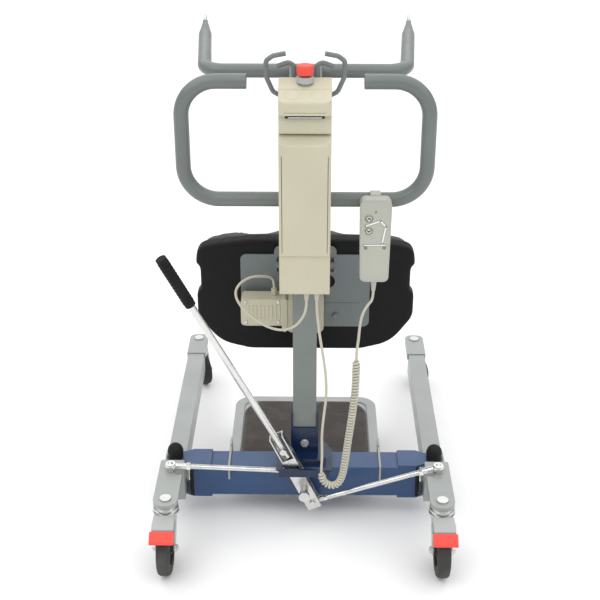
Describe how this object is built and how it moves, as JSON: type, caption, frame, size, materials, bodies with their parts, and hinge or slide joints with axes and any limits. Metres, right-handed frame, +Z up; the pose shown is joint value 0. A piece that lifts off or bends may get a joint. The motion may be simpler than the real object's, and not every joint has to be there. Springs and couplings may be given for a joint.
{
  "type": "patient lift hoist",
  "caption": "Sit-to-stand patient lift: castered base with spreading legs, mast, lifting boom, knee pad, footplate, battery control box and handset.",
  "frame": {"origin": "on the floor under the middle of the bounding box, cords left out", "axes": "+X to the caregiver's right, +Y forward towards the patient, +Z up"},
  "size_m": [0.6968, 0.9562, 1.1449],
  "materials": {
    "blue_paint": "gloss powder coat",
    "silver_paint": "satin silver powder coat",
    "grey_paint": "satin grey powder coat",
    "cream_plastic": "fine grained moulding",
    "cord_plastic": "soft cable jacket",
    "zinc_steel": "bright zinc plate",
    "chrome_rod": "polished",
    "tube_aluminium": "drawn tube",
    "black_plastic": "textured moulding",
    "front_wheel_black": "moulded wheel",
    "tyre_black": "grey-black tread",
    "black_rubber": "matt rubber",
    "cover_grey": "moulded plastic",
    "brake_red": "glossy red",
    "pad_vinyl": "soft vinyl",
    "button_dark": "grey keypad rubber"
  },
  "bodies": {
    "frame": {"base_crossbeam": "blue_paint", "mast_socket": "blue_paint", "mast": "silver_paint", "push_handle": "grey_paint", "handle_saddle": "grey_paint", "sling_storage_rods": "grey_paint", "control_box": "cream_plastic", "box_glands": "cord_plastic", "stop_button_collar": "cover_grey", "pivot_pins": "zinc_steel", "rubber_caps": "black_rubber", "actuator_housing": "cream_plastic", "actuator_tube": "tube_aluminium", "knee_bracket": "grey_paint", "actuator_cord": "cord_plastic", "handset_cord_lower": "cord_plastic", "handset_cord_curl": "cord_plastic", "handset_cord_upper": "cord_plastic"},
    "lever": {"lever_channel": "zinc_steel", "lever_tube": "zinc_steel", "lever_grip": "black_plastic", "lever_pins": "zinc_steel"},
    "boom_arm": {"boom": "grey_paint", "sling_hooks": "zinc_steel", "actuator_upper_pin": "zinc_steel"},
    "piston": {"actuator_piston": "chrome_rod"},
    "battery": {"battery_pack": "cream_plastic"},
    "stop": {"stop_button": "brake_red"},
    "handset_unit": {"handset": "cream_plastic"},
    "button_up": {"handset_button_up": "button_dark"},
    "button_down": {"handset_button_down": "button_dark"},
    "footplate": {"footplate_frame": "silver_paint", "footplate_mats": "black_rubber"},
    "knee_pad": {"knee_plate": "grey_paint", "knee_shell": "black_plastic", "knee_cushion": "pad_vinyl"},
    "leg_left": {"leg_left": "silver_paint", "leg_toe_left": "silver_paint", "ball_stud_left": "zinc_steel"},
    "tie_rod_left": {"tie_rod_left": "zinc_steel"},
    "rear_caster_left": {"rear_caster_fork_left": "zinc_steel", "brake_cover_left": "cover_grey"},
    "rear_wheel_left": {"rear_tyre_left": "tyre_black", "rear_hub_left": "black_plastic"},
    "brake_pedal_left": {"brake_pedal_left": "brake_red"},
    "front_caster_left": {"front_caster_fork_left": "zinc_steel"},
    "front_wheel_left": {"front_wheel_left": "front_wheel_black"},
    "leg_right": {"leg_right": "silver_paint", "leg_toe_right": "silver_paint", "ball_stud_right": "zinc_steel"},
    "tie_rod_right": {"tie_rod_right": "zinc_steel"},
    "rear_caster_right": {"rear_caster_fork_right": "zinc_steel", "brake_cover_right": "cover_grey"},
    "rear_wheel_right": {"rear_tyre_right": "tyre_black", "rear_hub_right": "black_plastic"},
    "brake_pedal_right": {"brake_pedal_right": "brake_red"},
    "front_caster_right": {"front_caster_fork_right": "zinc_steel"},
    "front_wheel_right": {"front_wheel_right": "front_wheel_black"}
  },
  "joints": [
    {"name": "spreader_lever", "type": "hinge", "parent": "frame", "child": "lever", "pos_m": [0, -0.225, 0.098], "axis": [0, 1, 0], "range_deg": [0, 27]},
    {"name": "leg_spread_left", "type": "hinge", "parent": "frame", "child": "leg_left", "pos_m": [-0.313, -0.165, 0.098], "axis": [0, 0, 1], "range_deg": [0, 12.85]},
    {"name": "tie_rod_ball_left", "type": "hinge", "parent": "leg_left", "child": "tie_rod_left", "pos_m": [-0.313, -0.26, 0.179], "axis": [0, 0, 1], "range_deg": [-12.85, 0]},
    {"name": "rear_swivel_left", "type": "hinge", "parent": "leg_left", "child": "rear_caster_left", "pos_m": [-0.313, -0.371, 0.15], "axis": [0, 0, 1], "continuous": true},
    {"name": "rear_spin_left", "type": "hinge", "parent": "rear_caster_left", "child": "rear_wheel_left", "pos_m": [-0.313, -0.415, 0.0625], "axis": [1, 0, 0], "continuous": true},
    {"name": "brake_press_left", "type": "hinge", "parent": "rear_caster_left", "child": "brake_pedal_left", "pos_m": [-0.313, -0.4565, 0.1285], "axis": [1, 0, 0], "range_deg": [0, 10]},
    {"name": "front_swivel_left", "type": "hinge", "parent": "leg_left", "child": "front_caster_left", "pos_m": [-0.313, 0.453, 0.11], "axis": [0, 0, 1], "continuous": true},
    {"name": "front_spin_left", "type": "hinge", "parent": "front_caster_left", "child": "front_wheel_left", "pos_m": [-0.29948, 0.424, 0.044], "axis": [0.9063, 0.4226, 0], "continuous": true},
    {"name": "leg_spread_right", "type": "hinge", "parent": "frame", "child": "leg_right", "pos_m": [0.313, -0.165, 0.098], "axis": [0, 0, 1], "range_deg": [-12.85, 0]},
    {"name": "tie_rod_ball_right", "type": "hinge", "parent": "leg_right", "child": "tie_rod_right", "pos_m": [0.313, -0.26, 0.179], "axis": [0, 0, 1], "range_deg": [0, 12.85]},
    {"name": "rear_swivel_right", "type": "hinge", "parent": "leg_right", "child": "rear_caster_right", "pos_m": [0.313, -0.371, 0.15], "axis": [0, 0, 1], "continuous": true},
    {"name": "rear_spin_right", "type": "hinge", "parent": "rear_caster_right", "child": "rear_wheel_right", "pos_m": [0.313, -0.415, 0.0625], "axis": [1, 0, 0], "continuous": true},
    {"name": "brake_press_right", "type": "hinge", "parent": "rear_caster_right", "child": "brake_pedal_right", "pos_m": [0.313, -0.4565, 0.1285], "axis": [1, 0, 0], "range_deg": [0, 10]},
    {"name": "front_swivel_right", "type": "hinge", "parent": "leg_right", "child": "front_caster_right", "pos_m": [0.313, 0.453, 0.11], "axis": [0, 0, 1], "continuous": true},
    {"name": "front_spin_right", "type": "hinge", "parent": "front_caster_right", "child": "front_wheel_right", "pos_m": [0.32652, 0.424, 0.044], "axis": [0.9063, 0.4226, 0], "continuous": true},
    {"name": "boom_lift", "type": "hinge", "parent": "frame", "child": "boom_arm", "pos_m": [0, -0.147, 1.045], "axis": [1, 0, 0], "range_deg": [-20, 30]},
    {"name": "piston_stroke", "type": "slide", "parent": "frame", "child": "piston", "axis": [0, 0, 1], "range_m": [-0.0185, 0.0277]},
    {"name": "battery_lift_out", "type": "slide", "parent": "frame", "child": "battery", "axis": [0, 0, 1], "range_m": [0, 0.08]},
    {"name": "stop_press", "type": "slide", "parent": "frame", "child": "stop", "axis": [0, 0, -1], "range_m": [0, 0.004], "stiffness_N_per_m": 600, "springref_m": -0.002},
    {"name": "handset_unhook", "type": "slide", "parent": "frame", "child": "handset_unit", "axis": [0, 0, 1], "range_m": [0, 0.04]},
    {"name": "button_up_press", "type": "slide", "parent": "handset_unit", "child": "button_up", "axis": [0, 1, 0], "range_m": [0, 0.0014], "stiffness_N_per_m": 800},
    {"name": "button_down_press", "type": "slide", "parent": "handset_unit", "child": "button_down", "axis": [0, 1, 0], "range_m": [0, 0.0014], "stiffness_N_per_m": 800},
    {"name": "footplate_lift_off", "type": "slide", "parent": "frame", "child": "footplate", "axis": [0, 0, 1], "range_m": [0, 0.06]},
    {"name": "knee_pad_height", "type": "slide", "parent": "frame", "child": "knee_pad", "axis": [0, 0, 1], "range_m": [-0.015, 0.015]}
  ],
  "couplings": [
    {"joint": "leg_spread_left", "follows": "spreader_lever", "ratio": 0.474},
    {"joint": "tie_rod_ball_left", "follows": "spreader_lever", "ratio": -0.474},
    {"joint": "leg_spread_right", "follows": "spreader_lever", "ratio": -0.474},
    {"joint": "tie_rod_ball_right", "follows": "spreader_lever", "ratio": 0.474},
    {"joint": "piston_stroke", "follows": "boom_lift", "m_per_rad": 0.0525}
  ]
}
